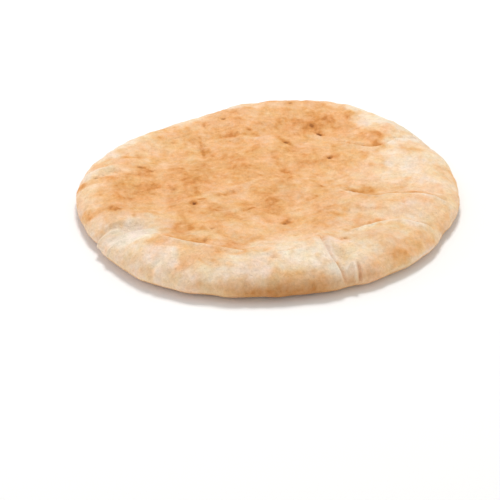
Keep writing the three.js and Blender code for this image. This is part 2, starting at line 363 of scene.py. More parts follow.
pita["scatter"] = {
    "seed": 11,
    "wrinkles": 150,
    "wrinkleReach": 80,  # mm from the middle
    "wrinkleLength": (4, 15),
    "wrinkleDepth": (0.12, 0.44),
    "wrinkleHalf": (0.5, 0.9),
    "wrinkleHeading": 35,  # degrees either way of left to right
    "wrinkleBend": 0.3,  # share of the half length
    # toast in a wrinkle's floor; above 0 it is partly painted shade
    "wrinkleToast": (-0.06, 0.2),
    "pleats": 34,  # short folds over the rim
    "pleatReach": (78, 97),  # mm from the middle
    "pleatStagger": 3,  # the inner ends differ by one part in so many of that
    "pleatDepth": (0.15, 0.6),
    "pleatHalf": (0.8, 1.8),
    "pleatSkew": 3,  # degrees
    "pores": 170,
    "poreSize": (0.45, 0.85),
    "poreStretch": (1.0, 1.8),
    "poreTurn": 40,  # degrees either way
    "poreDepth": (0.12, 0.35),
    "poreBurn": (0.0, 0.22),
}

# Unevenness of the crust: mm from bump to bump, height in mm, and how much toast it adds.
pita["unevenness"] = [
    {"size": 24.0, "height": 0.7, "toast": 0.0, "start": (0, 0, 0)},
    {"size": 9.0, "height": 0.42, "toast": 0.08, "start": (31, 7, 2)},
    {"size": 4.0, "height": 0.25, "toast": 0.16, "start": (3, 55, 9)},
    {"size": 1.9, "height": 0.13, "toast": 0.16, "start": (71, 13, 5)},
]
# The middle starts and is full at these distances in mm, and is so many times rougher.
pita["middle"] = {"from": 82, "to": 55, "rougher": 1.4}


def smoothStep(x, low, high):
    t = np.clip((x - low) / (high - low), 0, 1)
    return t * t * (3 - 2 * t)


def bell(x):
    return np.exp(-x * x)


# A smooth line through a few points, as a Catmull-Rom curve of so many steps between two points.
def smoothLine(points, steps=6):
    p = np.array(points, float) + pita["outlineOrigin"]
    p = np.vstack([2 * p[0] - p[1], p, 2 * p[-1] - p[-2]])
    spots = []
    for i in range(1, len(p) - 2):
        a, b, c, d = p[i - 1 : i + 3]
        for t in np.arange(steps) / steps:
            bend = 2 * a - 5 * b + 4 * c - d + (3 * (b - c) + d - a) * t
            spots.append(b + 0.5 * t * (c - a + t * bend))
    spots.append(p[-2])
    return np.array(spots)


# Which places lie near a line, how far along it, 0 to 1, and how far off, above 0 on its right.
def traceLine(points, places, reach):
    line = smoothLine(points)
    low, high = line.min(0) - reach, line.max(0) + reach
    near = np.flatnonzero(((places >= low) & (places <= high)).all(1))
    here = places[near]
    along = np.zeros(len(near))
    off = np.full(len(near), np.inf)
    legs = np.linalg.norm(np.diff(line, axis=0), axis=1)
    walked = np.concatenate([[0], np.cumsum(legs)])
    for i in range(len(line) - 1):
        run = line[i + 1] - line[i]
        away = here - line[i]
        share = np.clip(away @ run / (run @ run), 0, 1)
        gap = away - share[:, None] * run
        distance = np.hypot(gap[:, 0], gap[:, 1])
        side = np.where(away[:, 0] * run[1] - away[:, 1] * run[0] > 0, 1, -1)
        closer = distance < np.abs(off)
        off[closer] = (side * distance)[closer]
        along[closer] = ((walked[i] + share * legs[i]) / walked[-1])[closer]
    return near, along, off


# How far each place is from an oval's middle, as a share of its half widths.
def ovalDistance(places, x, y, halfLength, halfWidth, turn):
    turn = math.radians(turn)
    dx = places[:, 0] - x - pita["outlineOrigin"][0]
    dy = places[:, 1] - y - pita["outlineOrigin"][1]
    u = (dx * math.cos(turn) + dy * math.sin(turn)) / halfLength
    v = (dy * math.cos(turn) - dx * math.sin(turn)) / halfWidth
    return np.hypot(u, v)


def readMesh(mesh):
    n = len(mesh.vertices)
    places = np.empty(n * 3)
    normals = np.empty(n * 3)
    mesh.vertices.foreach_get("co", places)
    mesh.vertex_normals.foreach_get("vector", normals)
    return places.reshape(-1, 3) / mm, normals.reshape(-1, 3)


def noiseField(places, size, start):
    start = Vector(start)
    return np.array([noise.noise(Vector(p) / size + start) for p in places])


def drawWrinkles(draw):
    s = pita["scatter"]
    wrinkles = []
    for _ in range(s["wrinkles"]):
        turn = draw.uniform(0, 2 * math.pi)
        out = s["wrinkleReach"] * math.sqrt(draw.random())
        middle = Vector((out * math.cos(turn), out * math.sin(turn)))
        heading = math.radians(draw.uniform(-1, 1) * s["wrinkleHeading"])
        half = Vector((math.cos(heading), math.sin(heading))) * draw.uniform(*s["wrinkleLength"]) / 2
        bow = half.orthogonal() * draw.uniform(-1, 1) * s["wrinkleBend"]
        sink = (
            draw.uniform(*s["wrinkleDepth"]),
            draw.uniform(*s["wrinkleHalf"]),
            draw.uniform(*s["wrinkleToast"]),
        )
        wrinkles.append({"line": [middle - half, middle + bow, middle + half], "sink": sink})
    return wrinkles


def drawPleats(draw):
    s = pita["scatter"]
    pleats = []
    for i in range(s["pleats"]):
        turn = 2 * math.pi * (i + draw.random()) / s["pleats"]
        skew = turn + math.radians(draw.uniform(-1, 1) * s["pleatSkew"])
        inner, outer = s["pleatReach"]
        inner += draw.uniform(-1, 1) * (outer - inner) / s["pleatStagger"]
        line = [
            (inner * math.cos(skew), inner * math.sin(skew)),
            (outer * math.cos(turn), outer * math.sin(turn)),
        ]
        pleats.append({
            "line": line,
            "sink": (draw.uniform(*s["pleatDepth"]), draw.uniform(*s["pleatHalf"]), 0.0),
            "open": True,
        })
    return pleats


def drawPores(draw):
    s = pita["scatter"]
    pores = []
    for _ in range(s["pores"]):
        turn = draw.uniform(0, 2 * math.pi)
        out = s["wrinkleReach"] * math.sqrt(draw.random())
        size = draw.uniform(*s["poreSize"])
        pores.append((
            out * math.cos(turn),
            out * math.sin(turn),
            size * draw.uniform(*s["poreStretch"]),
            size,
            draw.uniform(-1, 1) * s["poreTurn"],
            draw.uniform(*s["poreDepth"]),
            draw.uniform(*s["poreBurn"]),
        ))
    return pores


def smoothVerts(bm, verts, passes):
    for _ in range(passes):
        bmesh.ops.smooth_vert(
            bm, verts=verts, factor=pita["smoothing"], use_axis_x=True, use_axis_y=True, use_axis_z=True
        )


# Spots along the lips that have a trough, to look up how near one a place is.
def lipTree():
    spots = [spot for lip in pita["lips"] if lip["trough"] for spot in smoothLine(lip["line"])]
    tree = kdtree.KDTree(len(spots))
    for i, spot in enumerate(spots):
        tree.insert((*spot, 0), i)
    tree.balance()
    return tree


def besideLip(spot, lipSpots):
    distance = lipSpots.find((*spot, 0))[2]  # it gives the nearest place, its number and its distance
    return distance < pita["lipSide"]


# How long a face's edges may be.
def edgeLimit(face, lipSpots):
    spot = face.calc_center_median().xy / mm
    tight = besideLip(spot, lipSpots)
    for x, y, radius in pita["foldSpots"]:
        tight = tight or (spot - Vector((x, y))).length < radius
    return pita["foldEdge" if tight else "fineEdge"] * mm


# The CAD solid as one soft mesh, fine where it is seen and finer where it folds.
def softCrust(lipSpots):
    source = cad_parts[pita["node"]]
    bm = bmesh.new()
    bm.from_mesh(source.data)
    bmesh.ops.remove_doubles(bm, verts=bm.verts, dist=pita["weld"] * mm)
    bmesh.ops.join_triangles(
        bm, faces=bm.faces, angle_face_threshold=math.pi, angle_shape_threshold=math.pi
    )
    rough = bpy.data.meshes.new("roughCrust")
    bm.to_mesh(rough)
    bm.free()
    crust = bpy.data.objects.new("pitaCrust", rough)
    bpy.context.collection.objects.link(crust)
    soften = crust.modifiers.new("soften", "SUBSURF")
    soften.levels = soften.render_levels = pita["softenLevels"]
    graph = bpy.context.evaluated_depsgraph_get()
    smooth = bpy.data.meshes.new_from_object(crust.evaluated_get(graph))
    crust.modifiers.clear()

    bm = bmesh.new()
    bm.from_mesh(smooth)
    for _ in range(pita["finePasses"]):
        seen = [f for f in bm.faces if f.normal.z > pita["fineSlope"]]
        edges = {e for f in seen for e in f.edges if e.calc_length() > edgeLimit(f, lipSpots)}
        bmesh.ops.subdivide_edges(
            bm, edges=list(edges), cuts=1, use_grid_fill=True, use_single_edge=True
        )
    verts = list({v for f in bm.faces if f.normal.z > pita["fineSlope"] for v in f.verts})
    smoothVerts(bm, verts, pita["evenPasses"])
    bm.to_mesh(smooth)
    bm.free()
    smooth.name = "pitaCrust"
    crust.data = smooth
    bpy.data.meshes.remove(rough)
    return crust


lipSpots = lipTree()
crust = softCrust(lipSpots)
print("crust refined to", len(crust.data.polygons), "faces")


def shapeLips(flat, lift, toast, burn):
    reach = pita["lipReach"]
    ends = pita["seamShade"]["ends"]
    for lip in pita["lips"]:
        near, along, off = traceLine(lip["line"], flat, lip["spread"] * pita["lipSpreads"])
        strength = smoothStep(along, 0, lip["fade"][0]) * smoothStep(1 - along, 0, lip["fade"][1])
        wide = smoothStep(off, -lip["wide"] / 2, lip["wide"] / 2)
        narrow = smoothStep(off, -lip["narrow"] / 2, lip["narrow"] / 2)
        crest = lip["narrow"] / 2
        step = lip["rise"] * (narrow - wide) * bell(np.maximum(off, 0) / lip["spread"])
        welt = lip["welt"] * bell((off - crest) / reach["welt"])
        trough = lip["trough"] * bell((off + crest) / reach["trough"])
        hollow = lip["hollow"] * bell(off / reach["hollow"]) * (1 - narrow)
        lift[near] += strength * (step + welt - trough - hollow)
        first, last = lip["span"]
        comes = smoothStep(along, first - ends, first + ends)
        goes = smoothStep(-along, -last - ends, -last + ends)
        # Painted shade: toast darkens the band just behind the crest, where the fold's shadow falls.
        seamShade = lip["seamShade"] * (1 - smoothStep(-off, *lip["reach"])) * (comes * goes)
        # Painted highlight: a before below 0 makes the crest paler.
        before = lip["before"] * bell((off - crest) / reach["before"])
        front = smoothStep(off, -reach["blend"], reach["blend"])
        toast[near] += strength * (seamShade + (before - seamShade) * front)
        # Painted shade: part of the band behind the crest also takes the burnt colour.
        burn[near] = np.maximum(burn[near], pita["seamShade"]["burn"] * strength * seamShade * (1 - front))


def pressCreases(creases, flat, swell, toast):
    look = pita["creaseLook"]
    for crease in creases:
        depth, half, colour = crease["sink"]
        near, along, off = traceLine(crease["line"], flat, half * look["reach"])
        strength = smoothStep(along, 0, look["fade"])
        if "open" not in crease:
            strength *= smoothStep(1 - along, 0, look["fade"])
        across = bell(off / half)
        swell[near] -= depth * strength * across
        # The floor's toast: above 0 partly painted shade in the crease, below 0 a painted highlight.
        toast[near] += colour * strength * across


def pressPits(pits, flat, unevenness, swell, toast, burn):
    look = pita["pitLook"]
    ragged = 1 + look["ragged"] * unevenness
    for x, y, halfLength, halfWidth, turn, depth, burnt in pits:
        distance = ovalDistance(flat, x, y, halfLength, halfWidth, turn) * ragged
        swell -= depth * bell(distance)
        burntFloor = burnt ** look["burnPower"] * (1 - smoothStep(distance, *look["burn"]))
        np.maximum(burn, burntFloor, out=burn)
        toast += look["ringToast"] * burnt * bell(distance / look["ring"])


def raiseSwells(flat, swell):
    for x, y, halfLength, halfWidth, turn, height in pita["swells"]:
        distance = ovalDistance(flat, x, y, halfLength, halfWidth, turn)
        swell += height * np.clip(1 - distance ** 2, 0, 1) ** pita["swellPower"]


# Shapes the crust, and gives the toast and burn that its forms gain, with the painted shade and painted
# highlights of the lips and creases, and the fields of unevenness.
def sculpt(crust):
    places, normals = readMesh(crust.data)
    flat = places[:, :2]
    lift = np.zeros(len(places))  # mm straight up
    swell = np.zeros(len(places))  # mm out of the crust
    toast = np.zeros(len(places))
    burn = np.zeros(len(places))
    layers = pita["unevenness"]
    fields = [noiseField(places, layer["size"], layer["start"]) for layer in layers]
    draw = random.Random(pita["scatter"]["seed"])
    shapeLips(flat, lift, toast, burn)
    pressCreases(pita["creases"] + drawWrinkles(draw) + drawPleats(draw), flat, swell, toast)
    pressPits(pita["pits"] + drawPores(draw), flat, fields[2], swell, toast, burn)
    raiseSwells(flat, swell)

    core = pita["middle"]
    middle = smoothStep(-np.hypot(flat[:, 0], flat[:, 1]), -core["from"], -core["to"])
    rough = sum(layer["height"] * field for layer, field in zip(layers, fields))
    rough *= 1 + (core["rougher"] - 1) * middle
    toast += sum(layer["toast"] * field for layer, field in zip(layers, fields))
    facing = pita["facing"]
    top = smoothStep(normals[:, 2], *facing["top"])
    resting = smoothStep(-normals[:, 2], *pita["resting"])
    places[:, 2] += lift * smoothStep(normals[:, 2], *facing["lifted"])
    places += normals * (swell * top + rough * (1 - resting))[:, None]
    places[:, 2] += resting * np.abs(rough) * pita["underRough"]
    places[:, 2] = np.maximum(places[:, 2], 0)  # nothing sinks into the table
    crust.data.vertices.foreach_set("co", (places * mm).ravel())
    crust.data.update()
    return toast * np.maximum(top, resting), burn * top, fields


# Smooths the steps of the lips a little.
def easeLips(crust, lipSpots):
    bm = bmesh.new()
    bm.from_mesh(crust.data)
    verts = [v for v in bm.verts if besideLip(v.co.xy / mm, lipSpots)]
    smoothVerts(bm, verts, pita["easePasses"])
    bm.to_mesh(crust.data)
    bm.free()


foldToastShadeAndHighlight, burn, fields = sculpt(crust)
easeLips(crust, lipSpots)
print("folds, creases and pits sculpted")


# How toasted the crust is: 0 is floury and pale, 1 deep brown; low down it also holds painted shade.
# Facings are as above.
pita["toast"] = {
    "top": 0.76,
    "topFacing": (0.1, 0.7),
    "side": 0.16,
    "low": 0.42,  # under the nose of the rim: real toast and painted shade on the faces turned down
    "lowFacing": (0.15, 0.6),  # downwards
    "skirt": 0.88,  # the brown low edge, partly painted shade where the bread meets the table
    "skirts": [  # mm up where it starts and is full, its middle, reach in mm and share
        {"from": 5.0, "to": 3.0, "x": 0, "y": 0, "reach": 1000, "share": 0.4},
        # a higher band at the front, toast and painted shade where the bread meets the table
        {"from": 13.5, "to": 5.5, "x": 10, "y": -88, "reach": 32, "share": 1.0},
    ],
    "skirtOut": (66, 76),  # mm from the middle, where it starts and is full
    # share of the burnt colour on the low edge, painted shade
    "skirtShade": 0.4,
    "under": 0.5,  # the flat underside
    "range": (-0.2, 1.2),
    "edge": (0.5, 1.3),  # where a mark starts to fade and where it ends
    "ragged": (0.35, 0.35),  # how far the two middle sizes of unevenness pull a mark's edge
    "softRim": {"out": (60, 76), "share": 0.6},  # mm out where that lessens, and by which share
}
# Marks on the top in the order of painting: x, y, half length, half width, turn, toast, share.
pita["toastMarks"] = [
    # right-hand side
    (62, -14, 36, 36, 0, 0.3, 0.85),
    (36, -2, 10, 22, 0, 0.58, 0.7),
    (72, 10, 15, 18, 0, 0.12, 0.9),
    (47, 9, 8, 14, 0, 0.38, 0.8),
    (34, 24, 14, 8, 0, 0.76, 0.8),
    (47, -6, 5, 5, 0, 0.95, 0.8),
    (57, -2, 9, 6, 0, 0.42, 0.8),
    (63, -10, 11, 5, 0, 0.5, 0.8),
    (60, -26, 14, 8, 0, 0.16, 0.8),
    (63, 27, 7, 4, 0, 0.28, 0.8),
    (52, 22, 5, 6, 0, 0.2, 0.7),
    (58, 33, 6, 7, 0, 0.2, 0.8),
    (58, 12, 7, 5, 0, 0.27, 0.7),
    (62, 20, 8, 4, 0, -0.05, 0.9),
    (60, 7, 12, 5, 0, 0.12, 0.8),
    (70, 14, 7, 8, 0, 0.0, 0.8),
    (77, 24, 9, 7, 0, 0.06, 0.9),
    (79, 4, 7, 4, 0, 0.06, 0.8),
    (70, 34, 8, 4, 0, 0.22, 0.8),
    (82, 14, 3, 6, 20, 0.52, 0.8),
    (86, -7, 4, 4, 0, 0.45, 0.8),
    (87, -19, 5, 8, 8, 0.1, 0.8),
    (78, -30, 3, 5, 25, 0.55, 0.7),
    (78, -39, 5, 4, 0, 0.15, 0.7),
    # pale swell at the back right
    (66, 56, 26, 14, -48, -0.04, 1.0),
    (48, 77, 15, 7, -30, -0.15, 1.0),
    (42, 73, 5, 5, 0, 0.0, 0.9),
    (47, 61, 5, 8, 0, 0.0, 0.9),
    (84, 36, 8, 18, 12, 0.0, 1.0),
    (53, 53, 6, 4, 0, 0.5, 0.8),
    (65, 48, 6, 4, 0, 0.36, 0.8),
    (76, 38, 5, 8, 0, 0.16, 0.8),
    (60, 39, 7, 6, 0, 0.0, 0.8),
    (70, 43, 5, 4, 0, -0.1, 0.8),
    # back rim
    (24, 84, 15, 5, -8, 0.4, 0.9),
    (10, 83, 11, 3.5, 0, 0.52, 0.8),
    (8, 76, 11, 5, 0, 0.56, 0.7),
    (-6, 76, 6, 4, 0, 0.26, 0.7),
    (34, 77, 5, 5, 0, 0.24, 0.8),
    (1, 86, 5, 3, 0, 0.0, 1.0),
    (-8, 82, 4, 3.5, 15, 0.08, 0.9),
    (-17, 77, 6, 6, 20, 0.0, 1.0),
    (-28, 77, 9, 5, 30, 0.12, 0.9),
    (-44, 62, 10, 8, 30, 0.1, 1.0),
    (-36, 66, 7, 5, 20, 0.2, 0.8),
    (-43, 60, 5, 9, 0, 0.12, 0.8),
    (-45, 60, 7, 10, 10, 0.0, 0.8),
    (-54, 48, 4, 4, 0, 0.3, 0.7),
    (-66, 51, 19, 8, 42, -0.1, 1.0),
    (-61, 39, 7, 6, 20, 0.16, 0.8),
    (-76, 37, 9, 14, -25, 0.04, 1.0),
    (-77, 23, 9, 6, 10, 0.0, 0.9),
    (-66, 28, 8, 5, 15, 0.28, 0.8),
    (-87, 17, 4, 7, 0, 0.2, 1.0),
    # left rim
    (-86, -8, 7, 18, 0, 0.3, 0.9),
    (-77, -5, 5, 24, 0, 0.6, 0.7),
    (-84, 7.5, 9, 5, 10, 0.02, 0.95),
    (-71, 11, 5, 5, 0, 0.5, 0.8),
    (-79, 14, 5, 3, 0, 0.45, 0.6),
    (-81, -4, 5, 5, 0, 0.24, 0.8),
    (-83, -21, 6, 6, 0, 0.2, 0.8),
    (-55, 33, 10, 6, 22, 0.55, 0.6),
    # floury hollow at the left
    (-61, -47, 14, 14, 0, -0.15, 1.0),
    (-55, -35, 5, 7, 0, 0.14, 0.8),
    (-48, -36, 5, 10, 0, 0.3, 0.8),
    (-73, -31.5, 5, 4, 0, 0.5, 0.7),
    (-79, -36, 7, 6, 0, 0.14, 0.8),
    (-74, -47, 6, 5, 0, 0.0, 0.9),
    (-63, -54, 12, 7, 0, -0.3, 1.0),
    # front roll
    (-55, -67, 16, 7, -32, 0.14, 1.0),
    (-44, -73, 6, 10, -20, 0.02, 1.0),
    (-42, -56, 12, 5, -18, 0.74, 0.9),
    (-30, -60, 8, 6, -18, 0.66, 0.9),
    (-30, -71, 9, 7, -10, 0.5, 0.9),
    (-31, -74, 7, 4, -10, 0.6, 0.8),
    (-38, -82, 10, 4, -15, 0.12, 0.9),
    (-12, -63, 10, 8, -10, 0.52, 0.8),
    (-16, -74, 8, 4, -10, 0.42, 0.9),
    (-2, -64, 8, 6, 0, 0.26, 0.9),
    (12, -57, 14, 5, 0, 0.26, 0.9),
    (1, -56, 12, 6, 0, 0.14, 0.9),
    (11, -50, 9, 5, 0, 0.22, 0.8),
    (12, -67, 14, 6, 0, 0.08, 1.0),
    (21, -56, 3, 6, 0, 0.5, 0.7),
    (5, -77, 30, 5, 0, 0.08, 1.0),
    (26, -66, 7, 14, 0, 0.0, 1.0),
    (-20, -83, 10, 4, -3, 0.0, 1.0),
    (-6, -84, 12, 5, 0, 0.05, 1.0),
    (36, -74, 7, 8, 0, 0.04, 1.0),
    # front right
    (34, -38, 7, 8, 0, 0.34, 0.8),
    (34, -54, 10, 10, 0, 0.14, 0.9),
    (28, -60, 3, 10, 10, -0.05, 0.9),
    (33, -63, 6, 6, 0, 0.05, 0.9),
    (44, -63, 10, 9, 10, 0.08, 0.9),
    (20, -45, 12, 6, 0, 0.5, 0.8),
    (50, -48, 14, 8, 0, 0.2, 0.8),
    (54, -57, 5, 4, 0, 0.25, 0.8),
    (70.5, -45, 6, 3.5, 48, 0.62, 0.9),
    (56, -62, 6, 3.5, 35, 0.62, 0.9),
    (63, -53, 6, 3.5, 45, 0.52, 0.9),
    (46, -72, 7, 3, 25, 0.28, 0.8),
    (20, -83, 15, 4, 8, 0.35, 0.8),
    # toasted spots of the back
    (21, 60, 19, 8.5, 0, 0.92, 0.95),
    (21, 58, 7, 5, 20, 1.0, 0.8),
    (28, 63, 5, 3.5, 0, 1.0, 0.7),
    (4, 77, 7, 3, 0, 0.42, 0.7),
    (28, 81, 5, 4, 0, 0.3, 0.7),
    (5, 51, 7, 5, 0, 0.9, 0.7),
    (-17, 66, 5, 6, 0, 0.81, 0.8),
    (-27, 62, 6, 5, 0, 0.74, 0.8),
    (-26, 69, 6, 3, 0, 0.5, 0.7),
    (-10, 67, 6, 4, 0, 0.56, 0.7),
    (-17, 49, 5, 3.5, 0, 0.9, 0.8),
    (-5, 44, 10, 5, 0, 0.56, 0.7),
    (23, 50, 5, 3, 0, 0.6, 0.6),
    (-41, 38, 9, 10, 0, 0.64, 0.7),
    (46, 37, 4, 5, 0, 0.6, 0.7),
    (27, 41, 11, 7, 0, 0.62, 0.7),
    (12, 35, 3, 7, 15, 0.86, 0.8),
    (5, 46, 2.5, 4, 35, 0.92, 0.7),
    (48, 47, 6, 5, -20, 0.84, 0.9),
    (53, 41, 4, 9, 12, 1.06, 0.9),
    (-31, 36, 3, 6, 10, 0.92, 0.8),
    (-37, 46, 5, 4, 0, 0.81, 0.7),
    (-50, 41, 6, 4, 0, 0.82, 0.8),
    (-46, 52, 6, 4, 20, 0.6, 0.8),
    (-15, 20, 5, 10, 0, 0.98, 0.8),
    (-25, 28, 5, 4, 0, 0.9, 0.7),
    (-36, 26, 5, 5, 0, 0.5, 0.8),
    (-32, 15, 5, 7, 0, 0.98, 0.85),
    (9, 10, 3, 7, 10, 0.98, 0.8),
    (20, 22, 5, 4, 0, 0.9, 0.7),
    (30, 26, 4, 3, 0, 0.9, 0.6),
    # left
    (-50, 14, 3, 10, 0, 0.55, 0.8),
    (-44, 9, 5, 9, 0, 0.87, 0.8),
    (-34, 3, 8, 6, 0, 1.02, 0.85),
    (-60, -4, 14, 4.5, 8, 1.03, 0.9),
    (-66, -12, 9, 8, 0, 0.87, 0.8),
    (-57, 10, 6, 6, 0, 0.9, 0.8),
    (-75, 2.5, 6, 3.5, 10, 0.78, 0.9),
    (-73, 16, 6, 3, 15, 0.55, 0.8),
    (-70, -27, 4, 5, 0, 1.02, 0.9),
    (-82.2, -27.3, 7, 2.6, -45, 0.68, 0.9),
    (-90, 0, 4.5, 3.5, 0, 0.98, 0.85),
    (-36, -10, 6, 9, 0, 0.94, 0.8),
    (-50, -16, 4, 12, 0, 0.68, 0.8),
    (-62, -24, 5, 7, 0, 0.68, 0.8),
    (-27, -12, 5, 4, 0, 0.62, 0.7),
    (-36, -32, 4, 10, 0, 0.87, 0.8),
    (-38, -45, 5, 10, 0, 0.95, 0.8),
    (-31, -56, 4, 5, 0, 0.8, 0.8),
    (-31, -48, 5, 3.5, 0, 0.38, 0.8),
    (-24, -51, 6, 6, 0, 0.36, 0.8),
    (-24, -33, 5, 8, 0, 0.81, 0.7),
    (-13, -54, 5, 6, 0, 0.78, 0.8),
    (-14, -40, 7, 4, 0, 0.56, 0.7),
    (-47, -21, 6, 6, 0, 0.86, 0.7),
    (-45, -30, 4, 5, 0, 0.6, 0.6),
    # middle
    (1, -12, 5, 9, 0, 0.98, 0.8),
    (-10, -12, 5, 6, 0, 0.62, 0.6),
    (-8, -21, 4, 4, 0, 0.84, 0.7),
    (4, -24, 6, 4, 0, 0.92, 0.8),
    (8, -35, 3, 2.5, 0, 0.95, 0.8),
    (3, -33, 4, 4, 0, 0.62, 0.7),
    (-5, -35, 6, 5, 0, 0.54, 0.7),
    (16, -24, 6, 7, 0, 0.56, 0.7),
    (25, -19, 4, 14, 0, 0.76, 0.8),
    (25, -32, 6, 6, 0, 0.7, 0.7),
    (-3, -46, 14, 8, 0, 0.54, 0.8),
    (-9, 14, 13, 8, 0, 0.9, 0.5),
    (-20, 24, 10, 5, 0, 0.95, 0.5),
    (47, -14, 6, 4, 0, 0.85, 0.7),
    (20, 20, 7, 5, 0, 0.84, 0.5),
    (28, -10, 4, 5, 0, 0.74, 0.6),
    (-3, 4, 6, 5, 0, 0.7, 0.6),
    (16, -2, 5, 7, 0, 0.62, 0.6),
    (-43, -8, 6, 6, 0, 0.95, 0.7),
    (20, 16, 6, 5, 0, 0.9, 0.7),
    (-12, 5, 5, 4, 0, 0.95, 0.7),
    (-21, -31, 5, 7, 20, 0.92, 0.7),
    (30, 5, 4, 4, 0, 0.68, 0.6),
    # here and there
    (-69, -34, 6, 5, 0, 0.48, 0.8),
    (24, -54, 4, 5, 0, 0.5, 0.8),
    (51, -66, 5, 4, 20, 0.5, 0.7),
    (33, -78, 5, 5, 0, -0.18, 0.9),
    (66, -33, 9, 4, 0, 0.14, 0.9),
    (-58, 36, 5, 6, 15, 0.34, 0.7),
    (51, 45, 3, 3, 0, 0.6, 0.7),
    (10, 44, 3, 4, 0, 0.68, 0.7),
    (-25, -43, 4, 4, 0, 0.5, 0.7),
    (4, -38, 6, 3, 0, 0.45, 0.7),
    (-57, -1, 3, 5, 0, 0.8, 0.7),
    (-47, -4, 3, 5, 0, 0.72, 0.7),
    (-31, -20, 3, 8, 0, 0.62, 0.7),
    (19, -12, 3, 7, 0, 0.6, 0.7),
    (40, -73, 3, 4, 0, 0.05, 0.8),
    (-25, -79, 4, 3, 0, 0.15, 0.8),
    (80, -14, 7, 4, 0, 0.18, 0.7),
    (48, 31, 5, 3, 0, 0.4, 0.7),
    (-71, -58, 4, 7, 25, 0.22, 0.8),
    (-13, -87, 6, 3, 0, 0.35, 0.8),
    (42, -45, 4, 3, 0, 0.4, 0.7),
    (-60, 22, 5, 4, 15, 0.78, 0.7),
    (-42, 60, 3, 6, 0, 0.14, 0.7),
    (-50, -70, 4, 4, 0, 0.0, 0.8),
    (66, -39, 7, 3, 0, 0.16, 0.7),
    (73, -12, 5, 3, 0, 0.2, 0.7),
    (9, -51, 6, 3, 0, 0.2, 0.7),
    (27, -67, 3, 5, 0, -0.1, 0.8),
    (82, -3, 4, 4, 0, 0.22, 0.7),
    (43, 73, 4, 4, 0, -0.1, 0.8),
    (70, 45, 4, 4, 0, -0.2, 0.8),
    (58, 24, 5, 4, 0, 0.1, 0.7),
    (-70, 6, 6, 3, 0, 0.5, 0.7),
    (14, 66, 3, 4, 0, 0.6, 0.7),
    (28, 65, 3, 4, 0, 0.7, 0.6),
    (27, 26, 3, 5, 0, 0.64, 0.7),
    (-46, 45, 4, 3, 0, 0.5, 0.7),
    (46, -38, 4, 2.5, 20, 0.2, 0.7),
    (-34, 22, 4, 3, 0, 0.62, 0.7),
    (21, -2, 3, 4, 0, 0.58, 0.7),
    (-33, -27, 3, 4, 0, 0.62, 0.7),
    (-38, -42, 3, 3, 0, 0.68, 0.7),
    (-8, 53, 3, 5, 0, 0.56, 0.7),
    (-17, 68, 8, 3, 0, 0.66, 0.6),
    (30, -80, 5, 4, 0, -0.2, 0.9),
    (87, 3, 3, 4, 0, 0.1, 0.8),
    (-32, 34, 3, 5, 0, 0.7, 0.6),
    (-38, -64, 6, 3, -20, 0.42, 0.7),
    (-24, -82, 8, 3, -5, 0.0, 0.9),
    (44, -36, 4, 4, 0, 0.36, 0.7),
    (-38, 55, 5, 5, 0, 0.45, 0.8),
    (14, -73, 8, 3, 0, -0.1, 0.9),
    (-22, -60, 5, 7, 0, 0.42, 0.6),
    (59, 39, 4, 4, 0, -0.05, 0.8),
    (70, 45, 4, 3, 0, -0.15, 0.8),
    (42, 50, 3, 6, 0, 0.58, 0.7),
    (59, 53, 4, 5, 0, 0.42, 0.8),
    (43, 63, 3, 3, 0, 0.5, 0.8),
    (9, 83, 10, 2.5, 0, 0.68, 0.8),
    (-74, 8.5, 10, 4, 10, 0.3, 0.8),
    (-50, -23, 4, 6, 0, 0.55, 0.7),
    (-66, 17, 11, 6, 15, 0.5, 0.8),
    (-41, 22, 5, 4, 0, 0.56, 0.7),
    (-7, 57, 5, 6, 0, 0.6, 0.7),
    (38, 38, 6, 6, 0, 0.5, 0.7),
    (18, 72, 4, 5, 0, 0.5, 0.7),
    (-13, -4, 8, 3, 25, 0.56, 0.7),
]

# Painted shade, as dull greyish spots where the crust lies in shade: x, y, half length, half width, turn,
# share of the burnt colour.
pita["dullSpots"] = [
    (-62, -44, 15, 6, 10, 0.21),
    (-70, -31, 9, 4, 0, 0.1),
    (-56, -34, 6, 6, 0, 0.09),
    (-10, -56, 12, 5, -8, 0.07),
    (46, -53, 14, 8, 0, 0.1),
    (33, -22, 12, 9, 0, 0.06),
    (28, -33, 6, 6, 0, 0.05),
    (43, -26, 6, 6, 0, 0.05),
    (7, -6, 5, 8, 0, 0.13),
    (48, -12, 7, 3, 0, 0.18),
    (74, 52, 20, 7, -60, 0.16),
    (16, -85, 18, 4, 5, 0.1),
    (26, -61, 2, 6, 12, 0.1),
    (-22, -27, 7, 4, 30, 0.1),
    (-32, 14, 5, 5, 0, 0.09),
    (27, -58, 3, 8, 15, 0.06),
    (-38, -48, 12, 3, 0, 0.09),
    (-63, -26, 7, 9, 0, 0.06),
    (-62, -64, 16, 4, -45, 0.06),
    (52, -1, 14, 5, 0, 0.05),
    (57, -10, 14, 3, 5, 0.1),
    (25.5, -62, 7, 1.4, -76, 0.1),
    (31, -73.5, 7, 1.4, -55, 0.1),
    (31, -67, 5, 3, -60, 0.08),
    (-65, -5, 5, 4, 30, 0.06),
    (-46, -17, 6, 5, 0, 0.05),
    (30, -36, 9, 6, 0, 0.06),
    (55, -48, 8, 4, 30, 0.08),
    (70, -32, 9, 4, 0, 0.07),
    (62, -23, 8, 5, 0, 0.06),
    (43, -24, 8, 6, 30, 0.06),
    (28, -10, 5, 5, 0, 0.05),
    (11, 55, 5, 3, 0, 0.05),
]


